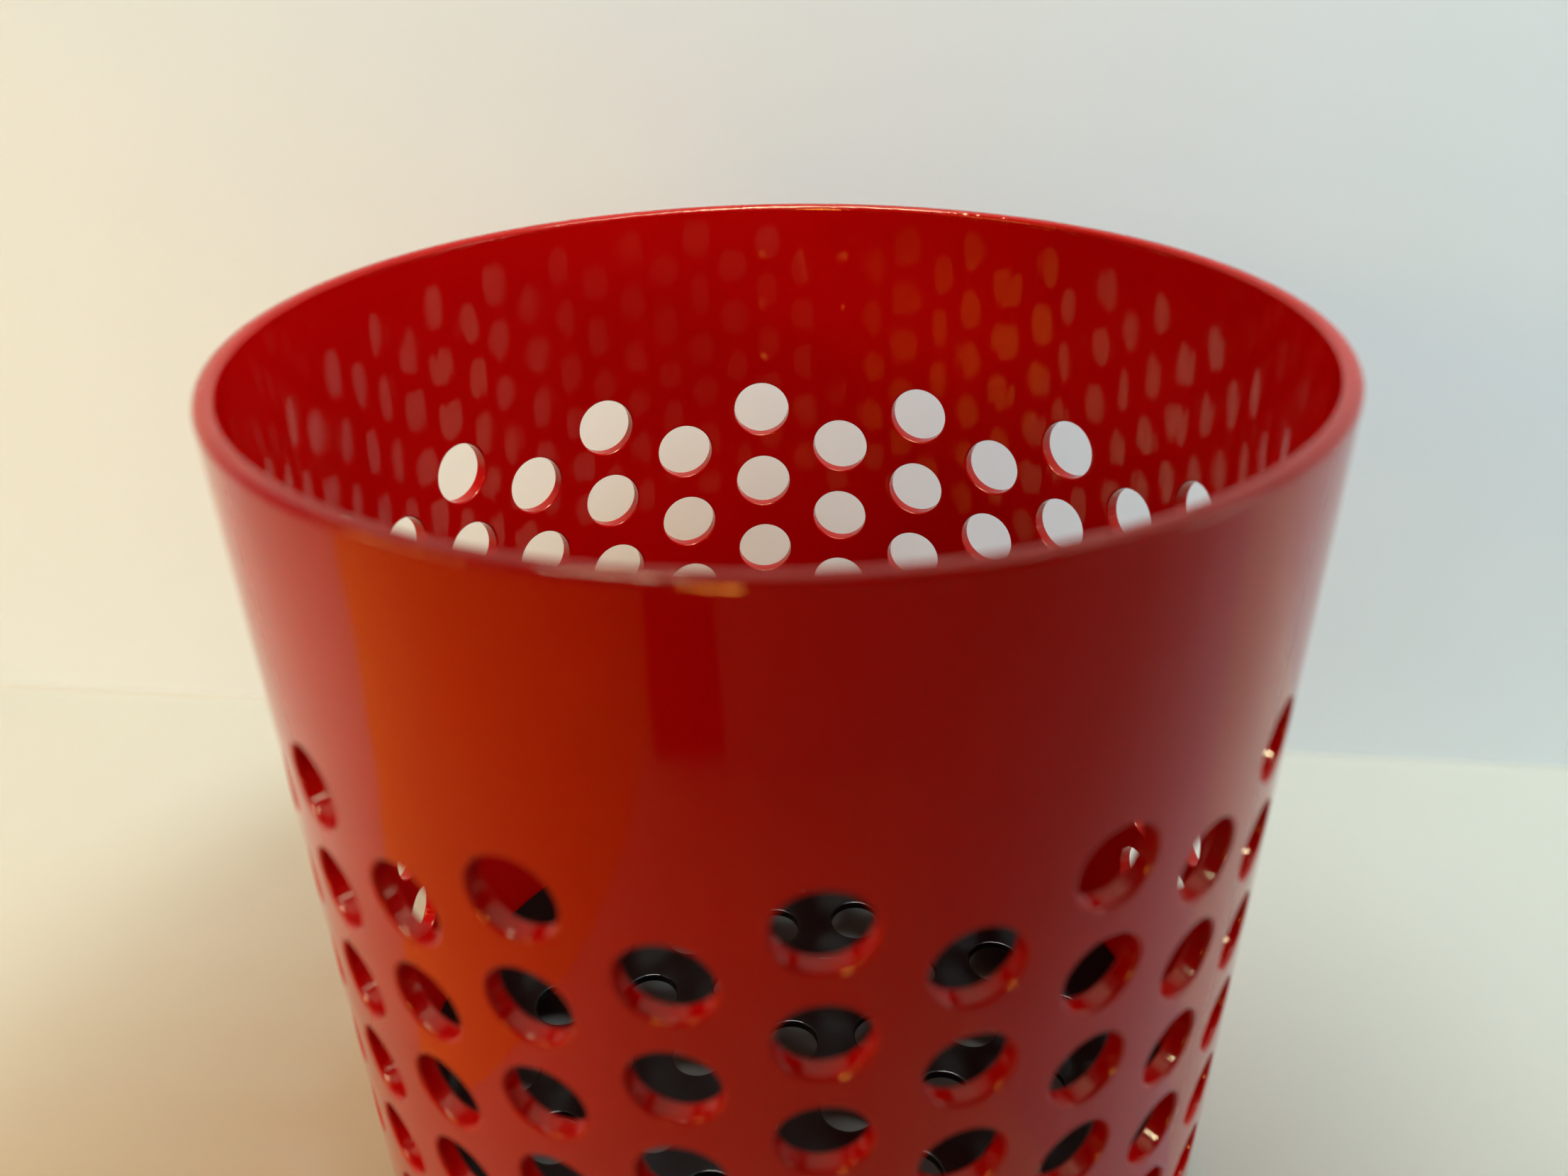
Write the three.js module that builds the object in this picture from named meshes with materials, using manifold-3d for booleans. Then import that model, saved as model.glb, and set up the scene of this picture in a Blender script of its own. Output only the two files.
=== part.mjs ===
// A round utensil holder: a red shell with staggered columns of drain holes, a black foot ring
// pressed into its lower end, rubber pads under the ring, and a perforated floor plate that rests on
// the ring's ledge and lifts out. Millimetres, +Z up, origin on the table at the middle of the foot.
// The front is -Y: the columns of holes are counted from there towards +X.

import * as THREE from "three";
import { mergeGeometries, mergeVertices } from "three/addons/utils/BufferGeometryUtils.js";
import Module from "manifold-3d";

const wasm = await Module();
wasm.setup();

// Shell
const SHELL_RADIUS = 60;
const SHELL_WALL = 2.2;
const RIM_TOP = 127;
const SHELL_BOTTOM = 3.5;
const RIM_OUTER_ROUND = 1.0;
const RIM_INNER_ROUND = 0.8;

// Holes in the shell: the columns take turns between a long one and a short one, half a row apart.
const COLUMNS = 28;
const ROW_PITCH = 12.83;
const TOP_HOLE_BELOW_RIM = 32.7;
const LONG_COLUMN_HOLES = 6;
const SHORT_COLUMN_HOLES = 5;
const WALL_HOLE_RADIUS = 4.45;

// Floor plate
const FLOOR_TOP = 11;
const FLOOR_THICKNESS = 1.5;
const FLOOR_CLEARANCE = 0.4;
const FLOOR_HOLE_RADIUS = 4.2;
const FLOOR_HOLE_PITCH = 14.4;
const FLOOR_EDGE_MARGIN = 6;
const FLOOR_PATTERN_TURN = THREE.MathUtils.degToRad(3);

// Foot ring and its pads
const RING_RADIUS = 59.4;
const RING_BOTTOM = 1.5;
const RING_SHELL_GAP = 0.3;
const RING_WALL = 2.2;
const LEDGE_WIDTH = 5.6;
const LEDGE_THICKNESS = 1.6;
const PADS = 4;
const PAD_ARC = THREE.MathUtils.degToRad(40);
const PAD_INSET = 0.9;
const PAD_WIDTH = 3.4;

// Facets
const ROUND_STEPS = 84;
const HOLE_STEPS = 12;
const ROUND_EDGE_STEPS = 3;
const PAD_STEPS = 8;

const columnStep = (2 * Math.PI) / COLUMNS;
const shellInnerRadius = SHELL_RADIUS - SHELL_WALL;
const ledgeTop = FLOOR_TOP - FLOOR_THICKNESS;

const red = new THREE.MeshStandardMaterial({ color: "#a30d0a", roughness: 0.28, metalness: 0 });
const black = new THREE.MeshStandardMaterial({ color: "#0f0c0b", roughness: 0.2, metalness: 0 });
const rubber = new THREE.MeshStandardMaterial({ color: "#1b1a1a", roughness: 0.85, metalness: 0 });

// A closed geometry as a solid, with the corners that its faces share merged.
function toSolid(geometry) {
  const bare = new THREE.BufferGeometry();
  bare.setAttribute("position", geometry.getAttribute("position"));
  bare.setIndex(geometry.index);
  const merged = mergeVertices(bare, 1e-4);
  return new wasm.Manifold(
    new wasm.Mesh({
      numProp: 3,
      vertProperties: merged.getAttribute("position").array,
      triVerts: new Uint32Array(merged.index.array),
    }),
  );
}

function toGeometry(solid) {
  const mesh = solid.getMesh();
  const geometry = new THREE.BufferGeometry();
  geometry.setAttribute("position", new THREE.BufferAttribute(mesh.vertProperties, 3));
  geometry.setIndex(new THREE.BufferAttribute(mesh.triVerts, 1));
  geometry.computeVertexNormals();
  return geometry;
}

// Points along an arc, with both of its ends.
function arc(centreX, centreY, radius, start, end, steps) {
  return Array.from({ length: steps + 1 }, (_, i) => {
    const angle = start + ((end - start) * i) / steps;
    return new THREE.Vector2(centreX + radius * Math.cos(angle), centreY + radius * Math.sin(angle));
  });
}

function circle(centreX, centreY, radius, steps) {
  return arc(centreX, centreY, radius, 0, 2 * Math.PI, steps).slice(0, -1);
}

// Turns a closed profile of (radius, height) points, listed outer side first and upwards, about +Z.
function turned(profile, steps, firstAngle = 0) {
  const closed = [...profile, profile[0].clone()];
  return new THREE.LatheGeometry(closed, steps, firstAngle).rotateX(Math.PI / 2);
}

function extruded(shape, depth, bottom) {
  const options = { depth, bevelEnabled: false };
  return new THREE.ExtrudeGeometry(shape, options).translate(0, 0, bottom);
}

function named(name, geometry, material) {
  const mesh = new THREE.Mesh(geometry, material);
  mesh.name = name;
  return mesh;
}

// The wall has one flat for each column of holes. The flats lie at the stated radii, so the corners
// between them lie a little further out.
function plainShell() {
  const toCorner = 1 / Math.cos(columnStep / 2);
  const outer = SHELL_RADIUS * toCorner;
  const inner = shellInnerRadius * toCorner;
  const outerRound = RIM_OUTER_ROUND;
  const innerRound = RIM_INNER_ROUND;
  const quarter = Math.PI / 2;
  const profile = [
    new THREE.Vector2(outer, SHELL_BOTTOM),
    ...arc(outer - outerRound, RIM_TOP - outerRound, outerRound, 0, quarter, ROUND_EDGE_STEPS),
    ...arc(
      inner + innerRound,
      RIM_TOP - innerRound,
      innerRound,
      quarter,
      2 * quarter,
      ROUND_EDGE_STEPS,
    ),
    new THREE.Vector2(inner, SHELL_BOTTOM),
  ];
  return turned(profile, COLUMNS, columnStep / 2);
}

// One drill for each hole, standing across the wall along the radius through the hole's centre.
function wallDrills() {
  const drill = new THREE.CylinderGeometry(
    WALL_HOLE_RADIUS,
    WALL_HOLE_RADIUS,
    4 * SHELL_WALL,
    HOLE_STEPS,
  ).translate(0, SHELL_WALL / 2 - SHELL_RADIUS, 0);
  const drills = [];
  for (let column = 0; column < COLUMNS; column++) {
    const isLong = column % 2 === 0;
    const top = RIM_TOP - TOP_HOLE_BELOW_RIM - (isLong ? 0 : ROW_PITCH / 2);
    const holes = isLong ? LONG_COLUMN_HOLES : SHORT_COLUMN_HOLES;
    for (let row = 0; row < holes; row++) {
      const place = drill.clone().translate(0, 0, top - row * ROW_PITCH);
      drills.push(place.rotateZ(column * columnStep));
    }
  }
  return mergeGeometries(drills);
}

function bodyShell() {
  return toGeometry(toSolid(plainShell()).subtract(toSolid(wallDrills())));
}

// Holes on a triangular grid with one hole on the axis, as far out as the plate's plain edge allows.
function floorPlate() {
  const radius = shellInnerRadius - FLOOR_CLEARANCE;
  const reach = radius - FLOOR_EDGE_MARGIN - FLOOR_HOLE_RADIUS;
  const rings = Math.ceil(reach / FLOOR_HOLE_PITCH) + 1;
  const plate = new THREE.Shape(circle(0, 0, radius, ROUND_STEPS));
  for (let i = -rings; i <= rings; i++) {
    for (let j = -rings; j <= rings; j++) {
      const centre = new THREE.Vector2(i + j / 2, (j * Math.sqrt(3)) / 2)
        .multiplyScalar(FLOOR_HOLE_PITCH)
        .rotateAround(new THREE.Vector2(), FLOOR_PATTERN_TURN);
      if (centre.length() > reach) continue;
      plate.holes.push(new THREE.Path(circle(centre.x, centre.y, FLOOR_HOLE_RADIUS, HOLE_STEPS)));
    }
  }
  return extruded(plate, FLOOR_THICKNESS, ledgeTop);
}

// A flange under the shell's end, a wall that fits inside the shell, and a ledge under the floor.
function footRing() {
  const wallOuter = shellInnerRadius - RING_SHELL_GAP;
  const wallInner = wallOuter - RING_WALL;
  const ledgeInner = wallOuter - LEDGE_WIDTH;
  const profile = [
    new THREE.Vector2(RING_RADIUS, RING_BOTTOM),
    new THREE.Vector2(RING_RADIUS, SHELL_BOTTOM),
    new THREE.Vector2(wallOuter, SHELL_BOTTOM),
    new THREE.Vector2(wallOuter, ledgeTop),
    new THREE.Vector2(ledgeInner, ledgeTop),
    new THREE.Vector2(ledgeInner, ledgeTop - LEDGE_THICKNESS),
    new THREE.Vector2(wallInner, ledgeTop - LEDGE_THICKNESS),
    new THREE.Vector2(wallInner, RING_BOTTOM),
  ];
  return turned(profile, ROUND_STEPS);
}

// A curved strip under the foot ring's flange.
function footPad(middleAngle) {
  const outer = RING_RADIUS - PAD_INSET;
  const start = middleAngle - PAD_ARC / 2;
  const end = middleAngle + PAD_ARC / 2;
  const outline = [
    ...arc(0, 0, outer, start, end, PAD_STEPS),
    ...arc(0, 0, outer - PAD_WIDTH, end, start, PAD_STEPS),
  ];
  return extruded(new THREE.Shape(outline), RING_BOTTOM, 0);
}

const utensilHolder = new THREE.Group();

const cup = new THREE.Group();
cup.add(named("body_shell", bodyShell(), red));
cup.add(named("foot_ring", footRing(), black));
for (let i = 0; i < PADS; i++) {
  const middleAngle = ((i + 0.5) * 2 * Math.PI) / PADS;
  cup.add(named(`foot_pad_${i + 1}`, footPad(middleAngle), rubber));
}
utensilHolder.add(cup);
utensilHolder.add(named("floor_plate", floorPlate(), black));

export default utensilHolder;
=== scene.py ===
"""A perforated red utensil holder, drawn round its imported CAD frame.

The CAD holds the sizes, the pieces and the lift of the floor plate. This script builds the fine
surface of each piece in mesh code, with its own procedural materials, and sets up the picture.
Lengths are in metres.
"""

import math

import bmesh
import bpy
import numpy as np
from mathutils import Matrix, Vector
from mathutils.geometry import delaunay_2d_cdt


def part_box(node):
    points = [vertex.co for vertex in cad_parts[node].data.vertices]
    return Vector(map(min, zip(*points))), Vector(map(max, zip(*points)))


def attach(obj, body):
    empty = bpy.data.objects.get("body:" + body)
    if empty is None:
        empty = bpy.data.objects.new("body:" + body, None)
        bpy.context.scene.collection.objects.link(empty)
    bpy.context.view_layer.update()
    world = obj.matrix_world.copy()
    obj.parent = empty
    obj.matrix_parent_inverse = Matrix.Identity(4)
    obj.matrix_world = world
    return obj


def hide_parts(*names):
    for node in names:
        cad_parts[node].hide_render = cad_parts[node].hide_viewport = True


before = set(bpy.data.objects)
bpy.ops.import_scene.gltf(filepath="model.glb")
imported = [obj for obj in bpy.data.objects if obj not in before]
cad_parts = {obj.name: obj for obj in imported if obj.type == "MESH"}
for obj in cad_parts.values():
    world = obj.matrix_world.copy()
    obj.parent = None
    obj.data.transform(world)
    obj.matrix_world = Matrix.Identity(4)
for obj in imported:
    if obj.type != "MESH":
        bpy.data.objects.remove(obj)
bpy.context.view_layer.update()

MM = 0.001
TAU = 2 * math.pi

# Sizes that the frame gives
shell_low, shell_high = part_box("body_shell")
floor_low, floor_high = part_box("floor_plate")
ring_low, ring_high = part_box("foot_ring")
SHELL_RADIUS = shell_high.x
SHELL_BOTTOM = shell_low.z
RIM_TOP = shell_high.z
FLOOR_RADIUS = floor_high.x
FLOOR_TOP = floor_high.z
FLOOR_BOTTOM = floor_low.z
RING_RADIUS = ring_high.x
RING_BOTTOM = ring_low.z

# Shell wall and its edges
SHELL_WALL = 2.2 * MM
SHELL_INNER = SHELL_RADIUS - SHELL_WALL
RIM_OUTER_ROUND = 1.0 * MM
RIM_INNER_ROUND = 0.8 * MM
SHELL_FOOT_ROUND = 0.4 * MM

# Holes in the shell
COLUMNS = 28
ROW_PITCH = 12.83 * MM
TOP_HOLE_BELOW_RIM = 32.7 * MM
LONG_COLUMN_HOLES = 6
SHORT_COLUMN_HOLES = 5
WALL_HOLE_RADIUS = 4.45 * MM
HOLE_OUTER_ROUND = 0.5 * MM
HOLE_INNER_ROUND = 0.3 * MM

# Each hole sits in a four-sided cell of wall, with CELL_STEPS steps along each side and as many points
# round the hole as round the cell. CELL_STEPS is even, because a plain half cell has half as many.
CELL_STEPS = 10
HALF_CELL = CELL_STEPS // 2
HOLE_POINTS = 4 * CELL_STEPS
AROUND = COLUMNS * CELL_STEPS

# Where the rings of points lie on the wall's two faces, from a hole's edge (0) to its cell's edge (1)
OUTER_FACE_SHARES = (1, 0.45, 0.12)
INNER_FACE_SHARES = (0.25, 1)

# Steps round a hole's outer and inner lips and round the wall's ends, and the usual step up plain wall
HOLE_OUTER_STEPS = 4
HOLE_INNER_STEPS = 2
WALL_END_STEPS = 6
PLAIN_WALL_STEP = 4 * MM

# Floor plate
FLOOR_HOLE_RADIUS = 4.2 * MM
FLOOR_HOLE_PITCH = 14.4 * MM
FLOOR_EDGE_MARGIN = 6 * MM
FLOOR_PATTERN_TURN = math.radians(3)
FLOOR_HOLE_ROUND = 0.35 * MM
FLOOR_EDGE_ROUND = 0.5 * MM
FLOOR_EDGE_STEPS = 240
FLOOR_HOLE_STEPS = 40

# Foot ring
RING_GAP = 0.3 * MM
RING_WALL_OUTER = SHELL_INNER - RING_GAP
RING_WALL = 2.2 * MM
LEDGE_WIDTH = 5.6 * MM
LEDGE_THICKNESS = 1.6 * MM
RING_ROUND = 0.35 * MM
RING_STEPS = 240

# Foot pads
PADS = 4
PAD_ARC = math.radians(40)
PAD_INSET = 0.9 * MM
PAD_WIDTH = 3.4 * MM
PAD_LOWER_ROUND = 0.4 * MM
PAD_UPPER_ROUND = 0.1 * MM
PAD_ARC_STEPS = 24
PAD_END_STEPS = 8

# Steps round the edges of the floor plate, the ring and the pads
EDGE_STEPS = 4

# Points closer than this are one point
WELD_DISTANCE = 0.001 * MM


# ---------------------------------------------------------------- mesh building


class Surface:
    """Points with their exact surface normals, and the faces between them."""

    def __init__(self):
        self.points = []
        self.normals = []
        self.faces = []
        self.count = 0

    def row(self, points, normals):
        """Adds a row of points and returns their numbers."""
        self.points.append(np.asarray(points, float))
        self.normals.append(np.asarray(normals, float))
        first = self.count
        self.count += len(points)
        return np.arange(first, self.count)

    def strip(self, first, second, closed):
        """Quads between two rows of the same length."""
        if closed:
            corners = (first, np.roll(first, -1), np.roll(second, -1), second)
        else:
            corners = (first[:-1], first[1:], second[1:], second[:-1])
        self.faces.append(np.stack(corners, axis=1))

    def sheet(self, rows, closed):
        """Quads between each row and the next. A row is a (points, normals) pair."""
        numbers = [self.row(*row) for row in rows]
        for first, second in zip(numbers, numbers[1:]):
            self.strip(first, second, closed)
        return numbers

    def make(self, name, material):
        """A Blender object with its seams welded, its faces turned outwards and its normals exact."""
        points = np.concatenate(self.points)
        normals = np.concatenate(self.normals)
        faces = []
        for block in self.faces:
            corners = points[block]
            across = np.cross(corners[:, 2] - corners[:, 0], corners[:, -1] - corners[:, 1])
            outward = np.einsum("ij,ij->i", across, normals[block].sum(axis=1))
            turned = np.where(outward[:, None] < 0, block[:, ::-1], block)
            faces.extend(turned.tolist())
        mesh = bpy.data.meshes.new(name)
        mesh.from_pydata(points.tolist(), [], faces)
        kept = mesh.attributes.new("exact_normal", "FLOAT_VECTOR", "POINT")
        kept.data.foreach_set("vector", normals.astype(np.float32).ravel())
        weld(mesh)
        exact = np.zeros(len(mesh.vertices) * 3, np.float32)
        mesh.attributes["exact_normal"].data.foreach_get("vector", exact)
        mesh.attributes.remove(mesh.attributes["exact_normal"])
        mesh.polygons.foreach_set("use_smooth", np.ones(len(mesh.polygons), bool))
        mesh.normals_split_custom_set_from_vertices(exact.reshape(-1, 3).tolist())
        mesh.materials.append(material)
        made = bpy.data.objects.new(name, mesh)
        bpy.context.scene.collection.objects.link(made)
        return made


def weld(mesh):
    """Merges the points that neighbouring patches share."""
    work = bmesh.new()
    work.from_mesh(mesh)
    bmesh.ops.remove_doubles(work, verts=work.verts, dist=WELD_DISTANCE)
    work.to_mesh(mesh)
    work.free()


def circle(radius, steps, centre=(0, 0)):
    """Points round a circle from the front (-Y) towards +X, and their outward directions."""
    angle = TAU * np.arange(steps) / steps
    outward = np.stack((np.sin(angle), -np.cos(angle)), axis=1)
    return np.array(centre) + radius * outward, outward


def turned_row(profile_point, steps, centre=(0, 0)):
    """One ring of a turned surface. A profile point is (radius, height, and its normal's two parts)."""
    radius, height, radial, upright = profile_point
    flat, outward = circle(radius, steps, centre)
    points = np.column_stack((flat, np.full(steps, height)))
    normals = np.column_stack((radial * outward, np.full(steps, upright)))
    return points, normals


def corner_arc(radius, height, facing, upward, rounding, steps=EDGE_STEPS):
    """Profile points round the edge between a wall and a level face, from the wall to the face.

    facing is 1 for a wall that faces away from the axis and -1 for one that faces it, and upward is 1
    or -1 for a level face that looks up or down.
    """
    found = []
    for bend in np.linspace(0, math.pi / 2, steps + 1):
        across = math.cos(bend)
        along = math.sin(bend)
        edge_radius = radius - facing * rounding * (1 - across)
        edge_height = height - upward * rounding * (1 - along)
        found.append((edge_radius, edge_height, facing * across, upward * along))
    return found


def rounded_profile(corners, rounding):
    """A closed outline of (radius, height) corners, counter-clockwise, with an arc at each corner.

    Returns (radius, height, radial, upright) for each point, the last two being its normal.
    """
    found = []
    count = len(corners)
    for i in range(count):
        before = np.array(corners[i - 1])
        here = np.array(corners[i])
        after = np.array(corners[(i + 1) % count])
        come = (here - before) / np.linalg.norm(here - before)
        leave = (after - here) / np.linalg.norm(after - here)
        normal_in = np.array((come[1], -come[0]))
        cross = come[0] * leave[1] - come[1] * leave[0]
        turn = math.atan2(cross, come @ leave)
        side = 1 if turn > 0 else -1
        back = rounding * math.tan(abs(turn) / 2)
        centre = here - come * back - normal_in * rounding * side
        start = math.atan2(normal_in[1], normal_in[0])
        for step in range(EDGE_STEPS + 1):
            angle = start + turn * step / EDGE_STEPS
            normal = np.array((math.cos(angle), math.sin(angle)))
            place = centre + normal * rounding * side
            found.append((*place, *normal))
    return found


# ---------------------------------------------------------------- shell


def square_outline():
    """Points round a hole's cell, as shares of its half width and half height, from +x."""
    places = []
    for i in range(HOLE_POINTS):
        step = (i + HALF_CELL) % HOLE_POINTS
        side, along = divmod(step, CELL_STEPS)
        run = along / HALF_CELL - 1
        places.append(((1, run), (-run, 1), (-1, -run), (run, -1))[side])
    return np.array(places).T


def cell_rings():
    """The rings of points from a cell's edge on the outer face, through the hole, to the inner face.

    Coordinates are (along the wall, outwards, up) from the axis at the hole's height.
    """
    angle = TAU * np.arange(HOLE_POINTS) / HOLE_POINTS
    cosine, sine = np.cos(angle), np.sin(angle)
    nothing = np.zeros(HOLE_POINTS)
    into_hole = np.stack((-cosine, nothing, -sine), axis=1)
    square_x, square_z = square_outline()
    square_turn = square_x * math.pi / COLUMNS
    square_up = square_z * ROW_PITCH / 2

    def on_face(radius, facing, edge, share):
        """A ring between the hole's edge (share 0) and the cell's edge (share 1)."""
        turn = np.arcsin(edge * cosine / radius) * (1 - share) + square_turn * share
        up = edge * sine * (1 - share) + square_up * share
        outward = np.stack((np.sin(turn), np.cos(turn), nothing), axis=1)
        points = radius * outward
        points[:, 2] = up
        return points, facing * outward

    def on_round(radius, facing, rounding, bend):
        """A ring on the rounded edge between a face of the wall and the hole."""
        reach = WALL_HOLE_RADIUS + rounding * (1 - math.sin(bend))
        depth = rounding * (1 - math.cos(bend))
        along = reach * cosine
        out = np.sqrt(radius**2 - along**2) - facing * depth
        points = np.stack((along, out, reach * sine), axis=1)
        outward = np.stack((along, np.sqrt(radius**2 - along**2), nothing), axis=1) / radius
        return points, math.cos(bend) * facing * outward + math.sin(bend) * into_hole

    outer_edge = WALL_HOLE_RADIUS + HOLE_OUTER_ROUND
    inner_edge = WALL_HOLE_RADIUS + HOLE_INNER_ROUND
    rings = [on_face(SHELL_RADIUS, 1, outer_edge, share) for share in OUTER_FACE_SHARES]
    for step in range(HOLE_OUTER_STEPS + 1):
        bend = math.pi / 2 * step / HOLE_OUTER_STEPS
        rings.append(on_round(SHELL_RADIUS, 1, HOLE_OUTER_ROUND, bend))
    for step in range(HOLE_INNER_STEPS, -1, -1):
        bend = math.pi / 2 * step / HOLE_INNER_STEPS
        rings.append(on_round(SHELL_INNER, -1, HOLE_INNER_ROUND, bend))
    rings += [on_face(SHELL_INNER, -1, inner_edge, share) for share in INNER_FACE_SHARES]
    return rings


def add_hole_cells(surface):
    """The wall round every hole. Long and short columns take turns, and a short one starts half a row
    lower."""
    rings = cell_rings()
    for column in range(COLUMNS):
        is_long = column % 2 == 0
        holes = LONG_COLUMN_HOLES if is_long else SHORT_COLUMN_HOLES
        top = RIM_TOP - TOP_HOLE_BELOW_RIM - (0 if is_long else ROW_PITCH / 2)
        turn = TAU * column / COLUMNS
        axes = np.array(
            (
                (math.cos(turn), math.sin(turn), 0),
                (math.sin(turn), -math.cos(turn), 0),
                (0, 0, 1),
            )
        )
        for row in range(holes):
            lift = np.array((0, 0, top - row * ROW_PITCH))
            placed = [(points @ axes + lift, normals @ axes) for points, normals in rings]
            surface.sheet(placed, closed=True)


def add_half_cells(surface, low):
    """Plain wall, half a cell high, above or below each short column."""
    levels = low + ROW_PITCH / 2 * np.arange(HALF_CELL + 1) / HALF_CELL
    for radius, facing in ((SHELL_RADIUS, 1), (SHELL_INNER, -1)):
        rows = [turned_row((radius, level, facing, 0), AROUND) for level in levels]
        for column in range(1, COLUMNS, 2):
            first = column * CELL_STEPS - HALF_CELL
            picked = np.arange(first, first + CELL_STEPS + 1) % AROUND
            patch = [(points[picked], normals[picked]) for points, normals in rows]
            surface.sheet(patch, closed=False)


def add_band(surface, radius, facing, low, high):
    """Plain wall all the way round."""
    steps = max(1, round((high - low) / PLAIN_WALL_STEP))
    levels = [low + (high - low) * step / steps for step in range(steps + 1)]
    rows = [turned_row((radius, level, facing, 0), AROUND) for level in levels]
    surface.sheet(rows, closed=True)


def add_wall_end(surface, height, upward, outer_round, inner_round):
    """The rounded end of the wall, from its outer face to its inner face."""
    outer = corner_arc(SHELL_RADIUS, height, 1, upward, outer_round, WALL_END_STEPS)
    inner = corner_arc(SHELL_INNER, height, -1, upward, inner_round, WALL_END_STEPS)
    rows = [turned_row(point, AROUND) for point in outer + inner[::-1]]
    surface.sheet(rows, closed=True)


def body_shell(material):
    """The round wall with its holes, its rim and its lower edge."""
    surface = Surface()
    add_hole_cells(surface)
    first_hole = RIM_TOP - TOP_HOLE_BELOW_RIM
    cells_top = first_hole + ROW_PITCH / 2
    cells_bottom = cells_top - LONG_COLUMN_HOLES * ROW_PITCH
    add_half_cells(surface, first_hole)
    add_half_cells(surface, cells_bottom)
    for radius, facing, rim_round in (
        (SHELL_RADIUS, 1, RIM_OUTER_ROUND),
        (SHELL_INNER, -1, RIM_INNER_ROUND),
    ):
        add_band(surface, radius, facing, cells_top, RIM_TOP - rim_round)
        add_band(surface, radius, facing, SHELL_BOTTOM + SHELL_FOOT_ROUND, cells_bottom)
    add_wall_end(surface, RIM_TOP, 1, RIM_OUTER_ROUND, RIM_INNER_ROUND)
    add_wall_end(surface, SHELL_BOTTOM, -1, SHELL_FOOT_ROUND, SHELL_FOOT_ROUND)
    return surface.make("shell", material)


# ---------------------------------------------------------------- floor plate


def floor_hole_centres():
    """Places in a pattern of equal triangles, wherever a whole hole fits inside the plate's plain edge."""
    reach = FLOOR_RADIUS - FLOOR_EDGE_MARGIN - FLOOR_HOLE_RADIUS
    rings = math.ceil(reach / FLOOR_HOLE_PITCH) + 1
    turn = Matrix.Rotation(FLOOR_PATTERN_TURN, 2)
    found = []
    for along in range(-rings, rings + 1):
        for row in range(-rings, rings + 1):
            centre = turn @ Vector((along + row / 2, row * math.sqrt(3) / 2)) * FLOOR_HOLE_PITCH
            if centre.length <= reach:
                found.append(np.array(centre))
    return found


def flat_with_holes(outer_radius, outer_steps, centres, hole_radius, hole_steps):
    """A flat disc between its edge and its holes: points, and triangles as triples of their numbers."""
    loops = [circle(outer_radius, outer_steps)[0]]
    loops += [circle(hole_radius, hole_steps, centre)[0] for centre in centres]
    starts = np.cumsum([0] + [len(loop) for loop in loops])
    outlines = [list(range(start, end)) for start, end in zip(starts, starts[1:])]
    points = [Vector(point) for point in np.concatenate(loops)]
    inside_outlines = 1
    closest = 1e-9
    made_points, _, made_faces, *_ = delaunay_2d_cdt(points, [], outlines, inside_outlines, closest)
    flat = np.array([tuple(point) for point in made_points])
    triangles = np.array(made_faces)
    middle = flat[triangles].mean(axis=1)
    keep = np.ones(len(triangles), bool)
    for centre in centres:
        keep &= np.linalg.norm(middle - centre, axis=1) > hole_radius
    return flat, triangles[keep]


def add_plate_edge(surface, radius, facing, rounding, steps, centre=(0, 0)):
    """The wall round the plate or through a hole in it, with rounded edges."""
    upper = corner_arc(radius, FLOOR_TOP, facing, 1, rounding)
    lower = corner_arc(radius, FLOOR_BOTTOM, facing, -1, rounding)
    rows = [turned_row(point, steps, centre) for point in upper[::-1] + lower]
    surface.sheet(rows, closed=True)


def floor_plate(material):
    """The perforated disc: two flat faces, the edge round them and the walls of the holes."""
    surface = Surface()
    centres = floor_hole_centres()
    flat, triangles = flat_with_holes(
        FLOOR_RADIUS - FLOOR_EDGE_ROUND,
        FLOOR_EDGE_STEPS,
        centres,
        FLOOR_HOLE_RADIUS + FLOOR_HOLE_ROUND,
        FLOOR_HOLE_STEPS,
    )
    for height, facing in ((FLOOR_TOP, 1), (FLOOR_BOTTOM, -1)):
        points = np.column_stack((flat, np.full(len(flat), height)))
        numbers = surface.row(points, np.tile((0, 0, facing), (len(flat), 1)))
        surface.faces.append(numbers[triangles])
    add_plate_edge(surface, FLOOR_RADIUS, 1, FLOOR_EDGE_ROUND, FLOOR_EDGE_STEPS)
    for centre in centres:
        add_plate_edge(surface, FLOOR_HOLE_RADIUS, -1, FLOOR_HOLE_ROUND, FLOOR_HOLE_STEPS, centre)
    return surface.make("floor", material)


# ---------------------------------------------------------------- foot


def foot_ring(material):
    """A turned ring: a foot under the shell, a wall inside it and a ledge that holds the floor plate."""
    wall_inner = RING_WALL_OUTER - RING_WALL
    ledge_inner = RING_WALL_OUTER - LEDGE_WIDTH
    ledge_bottom = FLOOR_BOTTOM - LEDGE_THICKNESS
    corners = [
        (wall_inner, RING_BOTTOM),
        (RING_RADIUS, RING_BOTTOM),
        (RING_RADIUS, SHELL_BOTTOM),
        (RING_WALL_OUTER, SHELL_BOTTOM),
        (RING_WALL_OUTER, FLOOR_BOTTOM),
        (ledge_inner, FLOOR_BOTTOM),
        (ledge_inner, ledge_bottom),
        (wall_inner, ledge_bottom),
    ]
    surface = Surface()
    rows = [turned_row(point, RING_STEPS) for point in rounded_profile(corners, RING_ROUND)]
    surface.sheet(rows + rows[:1], closed=True)
    return surface.make("ring", material)


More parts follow.
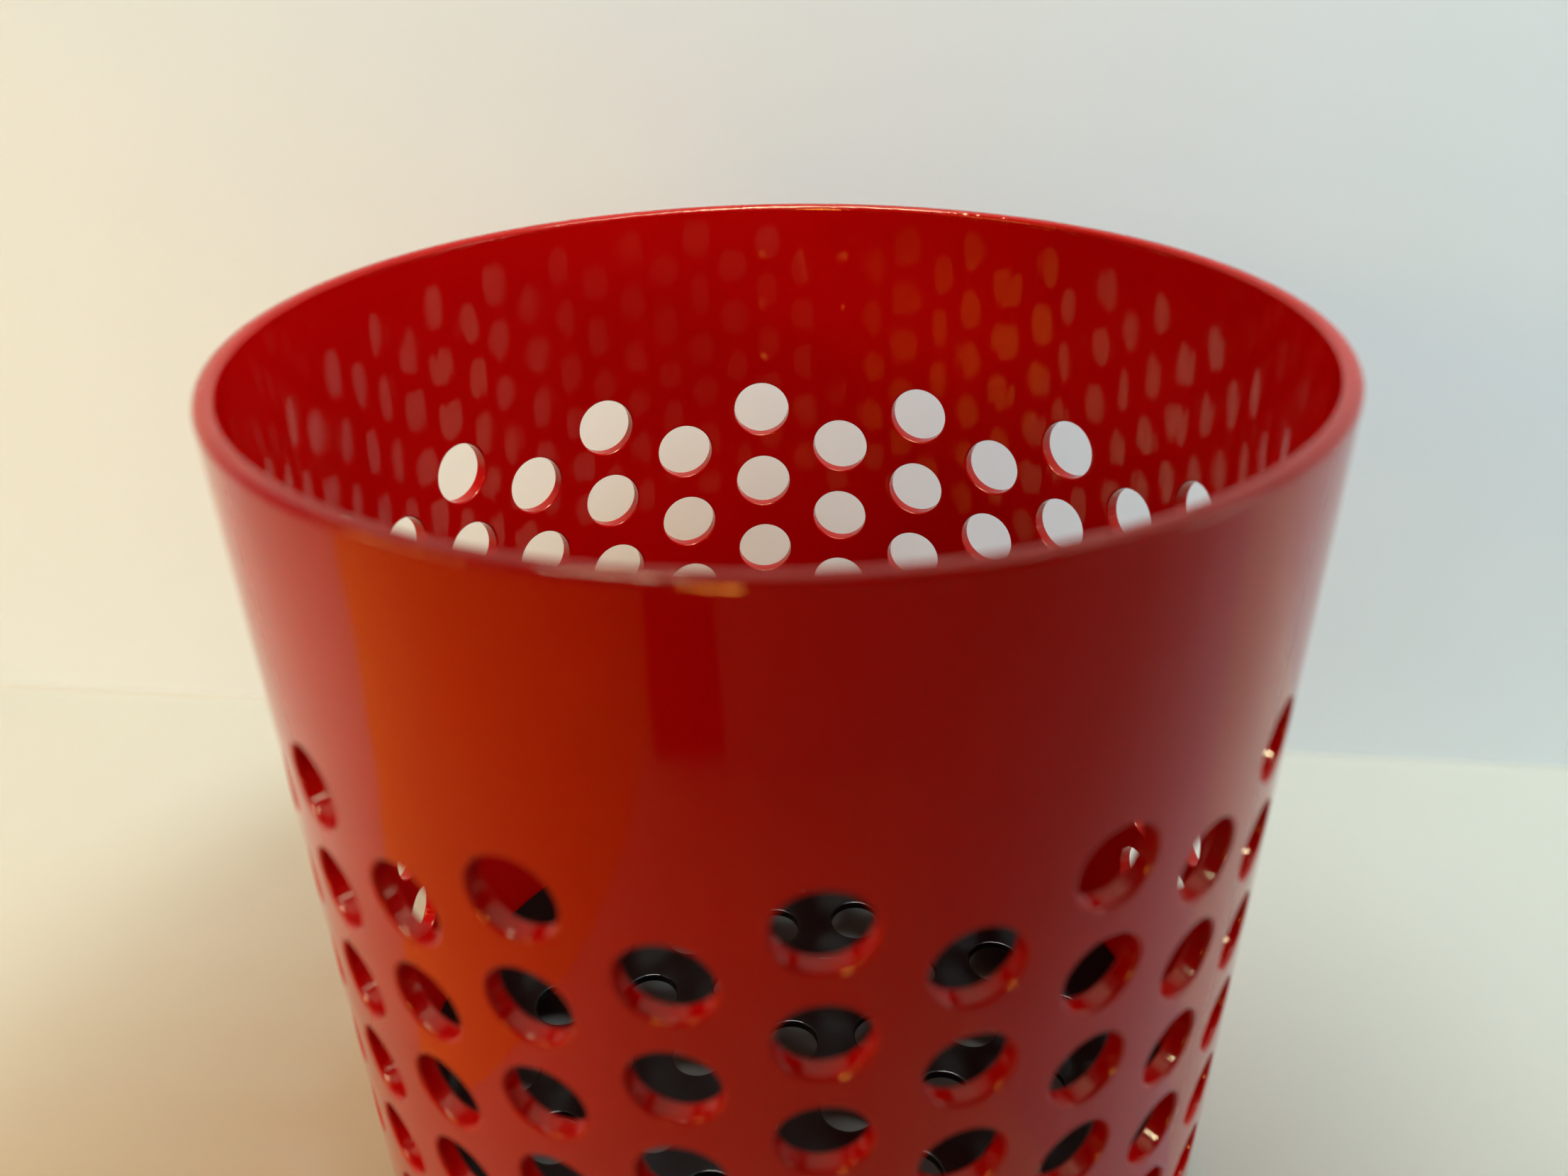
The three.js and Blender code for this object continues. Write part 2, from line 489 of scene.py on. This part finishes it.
def pad_outline(half_width, middle_turn):
    """A curved strip with round ends, as points and outward directions.

    It starts at the tip of one end, so that point i on the outer side is across from point -i.
    """
    middle_radius = RING_RADIUS - PAD_INSET - PAD_WIDTH / 2
    half_arc = PAD_ARC / 2 - PAD_WIDTH / 2 / middle_radius
    side = []
    for step in range(PAD_END_STEPS):
        bend = math.pi / 2 * step / PAD_END_STEPS
        side.append((-half_arc, -math.cos(bend), math.sin(bend)))
    for step in range(PAD_ARC_STEPS + 1):
        side.append((half_arc * (2 * step / PAD_ARC_STEPS - 1), 0, 1))
    for step in range(1, PAD_END_STEPS + 1):
        bend = math.pi / 2 * step / PAD_END_STEPS
        side.append((half_arc, math.sin(bend), math.cos(bend)))
    whole = side + [(turn, along, -out) for turn, along, out in side[-2:0:-1]]
    points = []
    outward = []
    for turn, along, out in whole:
        angle = middle_turn + turn
        radial = np.array((math.cos(angle), math.sin(angle)))
        tangent = np.array((-math.sin(angle), math.cos(angle)))
        direction = along * tangent + out * radial
        points.append(middle_radius * radial + half_width * direction)
        outward.append(direction)
    return np.array(points), np.array(outward)


def foot_pad(number, material):
    """One of the pads, from the table up to the foot ring."""
    surface = Surface()
    middle_turn = TAU * (number - 0.5) / PADS
    lower = corner_arc(PAD_WIDTH / 2, 0, 1, -1, PAD_LOWER_ROUND)
    upper = corner_arc(PAD_WIDTH / 2, RING_BOTTOM, 1, 1, PAD_UPPER_ROUND)
    rows = []
    for half_width, height, sideways, upright in lower[::-1] + upper:
        flat, outward = pad_outline(half_width, middle_turn)
        points = np.column_stack((flat, np.full(len(flat), height)))
        normals = np.column_stack((sideways * outward, np.full(len(flat), upright)))
        rows.append((points, normals))
    outlines = surface.sheet(rows, closed=True)
    for outline in (outlines[0], outlines[-1]):
        far_tip = len(outline) // 2
        outer_side = outline[1:far_tip]
        inner_side = outline[:far_tip:-1]
        surface.strip(outer_side, inner_side, closed=False)
        near_triangle = (outline[0], outer_side[0], inner_side[0])
        far_triangle = (outer_side[-1], outline[far_tip], inner_side[-1])
        surface.faces.append(np.array((near_triangle, far_triangle)))
    return surface.make(f"pad_{number}", material)


# ---------------------------------------------------------------- materials

# Colours as red, green, blue and alpha
RED_DEEP = (0.46, 0.0006, 0.0004, 1)
RED_BRIGHT = (0.51, 0.0009, 0.0006, 1)
RED_SHEEN = (1.0, 0.80, 0.50, 1)
PLASTIC_DARK = (0.003, 0.0025, 0.002, 1)
PLASTIC_LIGHT = (0.006, 0.005, 0.004, 1)
RUBBER_DARK = (0.010, 0.010, 0.010, 1)
RUBBER_LIGHT = (0.022, 0.021, 0.021, 1)

# Blender's Mix node has a set of sockets for each kind of value. These are its colour ones.
MIX_FIRST = 6
MIX_SECOND = 7
MIX_RESULT = 2


class Nodes:
    """A material's node tree, with short ways to add and join nodes."""

    def __init__(self, name):
        self.material = bpy.data.materials.new(name)
        self.material.use_nodes = True
        self.tree = self.material.node_tree
        self.shader = self.tree.nodes["Principled BSDF"]

    def add(self, kind, inputs=None, **settings):
        """A node of that kind. An input's value is a number, a colour or another node's output."""
        node = self.tree.nodes.new(kind)
        for key, value in settings.items():
            setattr(node, key, value)
        for key, value in (inputs or {}).items():
            self.set(node.inputs[key], value)
        return node

    def set(self, socket, value):
        """Joins a socket to another node's output, or gives it a plain value."""
        if isinstance(value, bpy.types.NodeSocket):
            self.tree.links.new(value, socket)
        else:
            socket.default_value = value

    def place(self):
        """Where a point is in its own object, so that a pattern moves with its piece."""
        return self.add("ShaderNodeTexCoord").outputs["Object"]

    def height(self):
        """A point's height in its own object."""
        return self.add("ShaderNodeSeparateXYZ", {"Vector": self.place()}).outputs["Z"]

    def noise(self, size, detail=2.0, stretch=(1, 1, 1)):
        """Noise whose features are about size metres across."""
        mapping = self.add("ShaderNodeMapping", {"Vector": self.place(), "Scale": stretch})
        settings = {"Vector": mapping.outputs["Vector"], "Scale": 1 / size, "Detail": detail}
        return self.add("ShaderNodeTexNoise", settings).outputs["Fac"]

    def between(self, value, low, high, to_low=0.0, to_high=1.0):
        """value brought from one range into another, and kept inside it."""
        settings = {
            "Value": value,
            "From Min": low,
            "From Max": high,
            "To Min": to_low,
            "To Max": to_high,
        }
        return self.add("ShaderNodeMapRange", settings).outputs["Result"]

    def product(self, first, second):
        """Two values multiplied."""
        node = self.add("ShaderNodeMath", {0: first, 1: second}, operation="MULTIPLY")
        return node.outputs["Value"]

    def mix(self, share, first, second):
        """A colour between two others, the first where share is 0."""
        inputs = {"Factor": share, MIX_FIRST: first, MIX_SECOND: second}
        return self.add("ShaderNodeMix", inputs, data_type="RGBA").outputs[MIX_RESULT]

    def bump(self, height, depth, below=None):
        """A bump of that depth in metres, over another bump if one is given."""
        inputs = {"Height": height, "Distance": depth, "Strength": 1.0}
        if below is not None:
            inputs["Normal"] = below
        return self.add("ShaderNodeBump", inputs).outputs["Normal"]

    def finish(self, **inputs):
        """The material, with its shader's inputs set. An input's name has _ for each space."""
        for key, value in inputs.items():
            self.set(self.shader.inputs[key.replace("_", " ")], value)
        return self.material


def red_gloss():
    """Glossy red: slow waves and fine upright streaks in the surface, smudges in the gloss, and small
    dents along the rim, which break up the light there."""
    nodes = Nodes("red gloss")
    tone = nodes.between(nodes.noise(30 * MM), low=0.35, high=0.65)
    smudges = nodes.noise(12 * MM, detail=4)
    wave_noise = nodes.noise(16 * MM, detail=1, stretch=(1, 1, 0.6))
    waves = nodes.bump(wave_noise, depth=0.20 * MM)
    streak_noise = nodes.noise(3 * MM, detail=1, stretch=(1, 1, 0.2))
    streaks = nodes.bump(streak_noise, depth=0.028 * MM, below=waves)
    on_rim = nodes.between(nodes.height(), low=RIM_TOP - 1.0 * MM, high=RIM_TOP - 0.5 * MM)
    burr_noise = nodes.product(nodes.noise(0.9 * MM), on_rim)
    burr = nodes.bump(burr_noise, depth=0.10 * MM, below=streaks)
    return nodes.finish(
        Base_Color=nodes.mix(tone, RED_DEEP, RED_BRIGHT),
        Roughness=nodes.between(smudges, low=0.35, high=0.75, to_low=0.035, to_high=0.08),
        Normal=burr,
        Specular_IOR_Level=0.32,
        Specular_Tint=RED_SHEEN,
    )


def black_gloss():
    """Moulded black plastic, a little smudged and wavy."""
    nodes = Nodes("black gloss")
    smudges = nodes.noise(8 * MM, detail=4)
    wave_noise = nodes.noise(14 * MM, detail=1)
    return nodes.finish(
        Base_Color=nodes.mix(nodes.noise(15 * MM), PLASTIC_DARK, PLASTIC_LIGHT),
        Roughness=nodes.between(smudges, low=0.35, high=0.7, to_low=0.10, to_high=0.20),
        Normal=nodes.bump(wave_noise, depth=0.12 * MM),
        Specular_IOR_Level=0.2,
    )


def black_rubber():
    """Matt rubber with a fine grain."""
    nodes = Nodes("black rubber")
    grain = nodes.noise(0.5 * MM, detail=3)
    return nodes.finish(
        Base_Color=nodes.mix(grain, RUBBER_DARK, RUBBER_LIGHT),
        Roughness=0.8,
        Normal=nodes.bump(grain, depth=0.03 * MM),
    )


# ---------------------------------------------------------------- the object

red = red_gloss()
black = black_gloss()
rubber = black_rubber()

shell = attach(body_shell(red), "cup")
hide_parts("body_shell")

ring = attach(foot_ring(black), "cup")
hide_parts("foot_ring")

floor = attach(floor_plate(black), "floor")
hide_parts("floor_plate")

for number in range(1, PADS + 1):
    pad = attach(foot_pad(number, rubber), "cup")
    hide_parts(f"foot_pad_{number}")


# ---------------------------------------------------------------- stage, light and camera

# Colours of the stage's papers
CREAM = (0.63, 0.56, 0.46, 1)
WHITE = (0.82, 0.82, 0.80, 1)
BLACK = (0.004, 0.004, 0.004, 1)
# Painted shade: the table in a person's shadow, which only the cup's reflections show
SHADED_TABLE_TONE = (0.50, 0.46, 0.48, 1)
# Painted light: the table in warm lamplight, which only the cup's reflections show
LAMPLIT_TABLE_TONE = (0.95, 0.50, 0.06, 1)
# Painted shade: the shadow under the cup, seen through the floor plate's holes
SHADE_UNDER_CUP = (0.14, 0.12, 0.10, 1)

# Colours of the lights
DAYLIGHT = (0.67, 0.91, 1.0)
COOL = (0.74, 0.88, 1.0)
PALE_BLUE = (0.80, 0.92, 1.0)
AMBER = (1.0, 0.66, 0.14)
PALE_AMBER = (1.0, 0.76, 0.40)
DEEP_ORANGE = (1.0, 0.42, 0.01)
ORANGE_GLOW = (1.0, 0.45, 0.10)
WARM_WHITE = (1.0, 0.98, 0.92)
ROOM_GLOW = (0.93, 0.97, 1.0, 1)
ROOM_SEEN = (0.72, 0.71, 0.69, 1)

# The wall behind the cup
WALL_BEHIND = 98.5 * MM
WALL_BEND = 2 * MM
WALL_BEND_STEPS = 12
WALL_TURN = math.radians(-9.8)
STAGE_REACH = 2.5

# Heights of the cards above the table
OVERHEAD_LEVEL = 0.20
TABLE_LEVEL = 1 * MM

# The disc of painted shade under the cup
DISC_LEVEL = 0.3 * MM
DISC_RADIUS = 50 * MM
DISC_STEPS = 96


def stage_material():
    """Pale paper, cream on the floor and white on the wall. It can be looked through from behind, so
    that the wall never hides the cup."""
    nodes = Nodes("pale stage")
    on_wall = nodes.between(nodes.height(), low=0.5 * MM, high=WALL_BEND)
    tone = nodes.mix(on_wall, CREAM, WHITE)
    paper = nodes.finish(Base_Color=tone, Roughness=0.6, Specular_IOR_Level=0.1)
    behind = nodes.add("ShaderNodeNewGeometry").outputs["Backfacing"]
    clear = nodes.add("ShaderNodeBsdfTransparent").outputs["BSDF"]
    inputs = {"Fac": behind, 1: nodes.shader.outputs["BSDF"], 2: clear}
    seen = nodes.add("ShaderNodeMixShader", inputs)
    nodes.set(nodes.tree.nodes["Material Output"].inputs["Surface"], seen.outputs["Shader"])
    return paper


def stage_sheet(name, points, faces, material):
    """A flat or bent sheet that belongs to the stage, not to the object."""
    mesh = bpy.data.meshes.new(name)
    mesh.from_pydata(points, [], faces)
    mesh.materials.append(material)
    made = bpy.data.objects.new(name, mesh)
    bpy.context.scene.collection.objects.link(made)
    return made


def backdrop():
    """A pale floor that turns up into a wall just behind the cup."""
    profile = [(-STAGE_REACH, 0.0)]
    for step in range(WALL_BEND_STEPS + 1):
        turn = math.pi / 2 * step / WALL_BEND_STEPS
        behind = WALL_BEHIND - WALL_BEND + WALL_BEND * math.sin(turn)
        profile.append((behind, WALL_BEND - WALL_BEND * math.cos(turn)))
    profile.append((WALL_BEHIND, STAGE_REACH))
    points = [(x, y, z) for y, z in profile for x in (-STAGE_REACH, STAGE_REACH)]
    faces = [(2 * i, 2 * i + 1, 2 * i + 3, 2 * i + 2) for i in range(len(profile) - 1)]
    made = stage_sheet("backdrop", points, faces, stage_material())
    made.data.polygons.foreach_set("use_smooth", np.ones(len(faces), bool))
    made.rotation_euler.z = WALL_TURN


def card(name, corners, paper):
    """A card with four corners. It shapes the light and the reflections, and the camera never sees it."""
    made = stage_sheet(name, corners, [(0, 1, 2, 3)], paper)
    made.visible_camera = False
    return made


def level_card(name, left, right, far, near, level, paper):
    """A level card, from its left side to its right and from its far edge to the one near the cup."""
    corners = [(x, y, level) for x, y in ((left, near), (right, near), (right, far), (left, far))]
    return card(name, corners, paper)


def card_paper(name, colour):
    """Matt paper of one colour."""
    return Nodes(name).finish(Base_Color=colour, Roughness=0.9)


def shade_cards():
    """Black cards over the table in front of the cup, which shade it as a person with a camera does,
    and one on edge that gives the front wall its dark band."""
    paper = card_paper("black card", BLACK)
    shade_edge = -0.125
    level_card("shade_card", -0.50, 0.45, -0.45, shade_edge, OVERHEAD_LEVEL, paper)
    level_card("near_card", -0.09, 0.12, shade_edge, -0.060, OVERHEAD_LEVEL, paper)
    start = (-0.045, -0.205)
    end = (-0.085, -0.190)
    top = 0.10
    card("band_card", [(*start, 0.0), (*end, 0.0), (*end, top), (*start, top)], paper)


def table_cards():
    """Cards on the table that only show as reflections in the cup, painted reflections of the table round
    it: dim ones ahead of it and at the right are painted shade, and a warm one at the left is painted
    lamplight."""
    brown = card_paper("painted shade card", SHADED_TABLE_TONE)
    orange = card_paper("painted lamplight card", LAMPLIT_TABLE_TONE)
    for made in (
        level_card("right_card", 0.06, 0.40, -0.34, -0.03, TABLE_LEVEL, brown),
        level_card("ahead_card", -0.07, 0.06, -0.60, -0.20, TABLE_LEVEL, brown),
        level_card("left_card", -0.45, -0.09, -0.40, -0.03, TABLE_LEVEL, orange),
    ):
        made.visible_diffuse = False
        made.visible_shadow = False


def painted_shade_disc():
    """Dark paper under the cup, painted shade: as under the real floor plate, no pale table shows through
    its holes.
    """
    paper = Nodes("painted shade disc").finish(Base_Color=SHADE_UNDER_CUP, Roughness=0.7)
    flat, _ = circle(DISC_RADIUS, DISC_STEPS)
    points = [(x, y, DISC_LEVEL) for x, y in flat]
    stage_sheet("painted_shade_disc", points, [tuple(range(DISC_STEPS))], paper)


def panel(name, place, aim, size, power, colour):
    """A soft light at place, turned towards aim. Its size is (width, height), its power in watts."""
    light = bpy.data.lights.new(name, "AREA")
    light.shape = "RECTANGLE"
    light.size, light.size_y = size
    light.energy = power
    light.color = colour
    made = bpy.data.objects.new(name, light)
    made.location = place
    made.rotation_mode = "QUATERNION"
    made.rotation_quaternion = (Vector(aim) - Vector(place)).to_track_quat("-Z", "Y")
    made.visible_camera = False
    bpy.context.scene.collection.objects.link(made)
    return made


def lamps():
    """Cool light from in front and above, warm lamps at the left, and small ones for the glints."""
    middle = (0, 0, 0.07)
    panel("main", (0.20, -0.75, 1.05), middle, (1.2, 0.3), 4.0, DAYLIGHT)
    panel("overhead", (0.30, -0.30, 0.95), (0, 0.05, 0), (0.6, 0.2), 9.0, DAYLIGHT)
    panel("left lamp", (-0.27, -0.10, 0.22), (-0.20, -0.06, 0), (0.12, 0.10), 0.33, AMBER)
    panel("front lamp", (-0.28, -0.16, 0.20), (-0.26, -0.13, 0), (0.12, 0.12), 0.40, PALE_AMBER)
    panel("cool window", (0.75, -0.45, 0.28), middle, (0.5, 0.4), 0.5, COOL)
    panel("right lamp", (1.0, -0.22, 0.20), (0, 0.09, 0.04), (0.25, 0.2), 1.3, PALE_BLUE)
    near_aim = (-0.03, -0.05, 0.07)
    near = panel("near lamp", (-0.19, -0.19, 0.115), near_aim, (0.1, 0.04), 0.09, DEEP_ORANGE)
    near.visible_glossy = False
    strip = panel("strip", (-0.10, -0.16, 1.0), (0, 0.05, 0.12), (0.6, 0.10), 25, WARM_WHITE)
    strip.visible_diffuse = False
    glint = panel("glint", (-0.24, -0.95, 0.21), middle, (0.08, 0.16), 6, ORANGE_GLOW)
    glint.visible_diffuse = False


def camera():
    """A hand-held close view over the rim, looking down at the far wall."""
    distance = 131.9 * MM
    above_rim = 39.8 * MM
    beside = math.radians(2.77)
    pitch = math.radians(29.28)
    yaw = math.radians(0.11) + beside
    roll = math.radians(1.05)
    place = Vector((-distance * math.sin(beside), -distance * math.cos(beside), RIM_TOP + above_rim))
    forward = Vector(
        (math.sin(yaw) * math.cos(pitch), math.cos(yaw) * math.cos(pitch), -math.sin(pitch))
    )
    level = Vector((math.cos(yaw), -math.sin(yaw), 0))
    down = forward.cross(level)
    right = math.cos(roll) * level + math.sin(roll) * down
    up = math.sin(roll) * level - math.cos(roll) * down
    lens = bpy.data.cameras.new("camera")
    lens.sensor_width = 36
    lens.lens = 27.97
    lens.clip_start = 0.005
    lens.clip_end = 20
    lens.dof.use_dof = True
    lens.dof.focus_distance = 0.204
    lens.dof.aperture_fstop = 14
    made = bpy.data.objects.new("camera", lens)
    made.matrix_world = Matrix((right, up, -forward)).transposed().to_4x4()
    made.location = place
    bpy.context.scene.collection.objects.link(made)
    bpy.context.scene.camera = made


def room_light():
    """A dim room, which the camera sees as pale where it looks past the backdrop."""
    world = bpy.data.worlds.new("room")
    world.use_nodes = True
    tree = world.node_tree
    dim = tree.nodes["Background"]
    dim.inputs["Color"].default_value = ROOM_GLOW
    dim.inputs["Strength"].default_value = 0.2
    pale = tree.nodes.new("ShaderNodeBackground")
    pale.inputs["Color"].default_value = ROOM_SEEN
    seen = tree.nodes.new("ShaderNodeLightPath").outputs["Is Camera Ray"]
    mixed = tree.nodes.new("ShaderNodeMixShader")
    tree.links.new(seen, mixed.inputs["Fac"])
    tree.links.new(dim.outputs["Background"], mixed.inputs[1])
    tree.links.new(pale.outputs["Background"], mixed.inputs[2])
    tree.links.new(mixed.outputs["Shader"], tree.nodes["World Output"].inputs["Surface"])
    bpy.context.scene.world = world


def plain_colours():
    """Colours as they are, with no film look."""
    view = bpy.context.scene.view_settings
    view.view_transform = "Standard"
    view.look = "None"


backdrop()
shade_cards()
table_cards()
painted_shade_disc()
room_light()
lamps()
camera()
plain_colours()
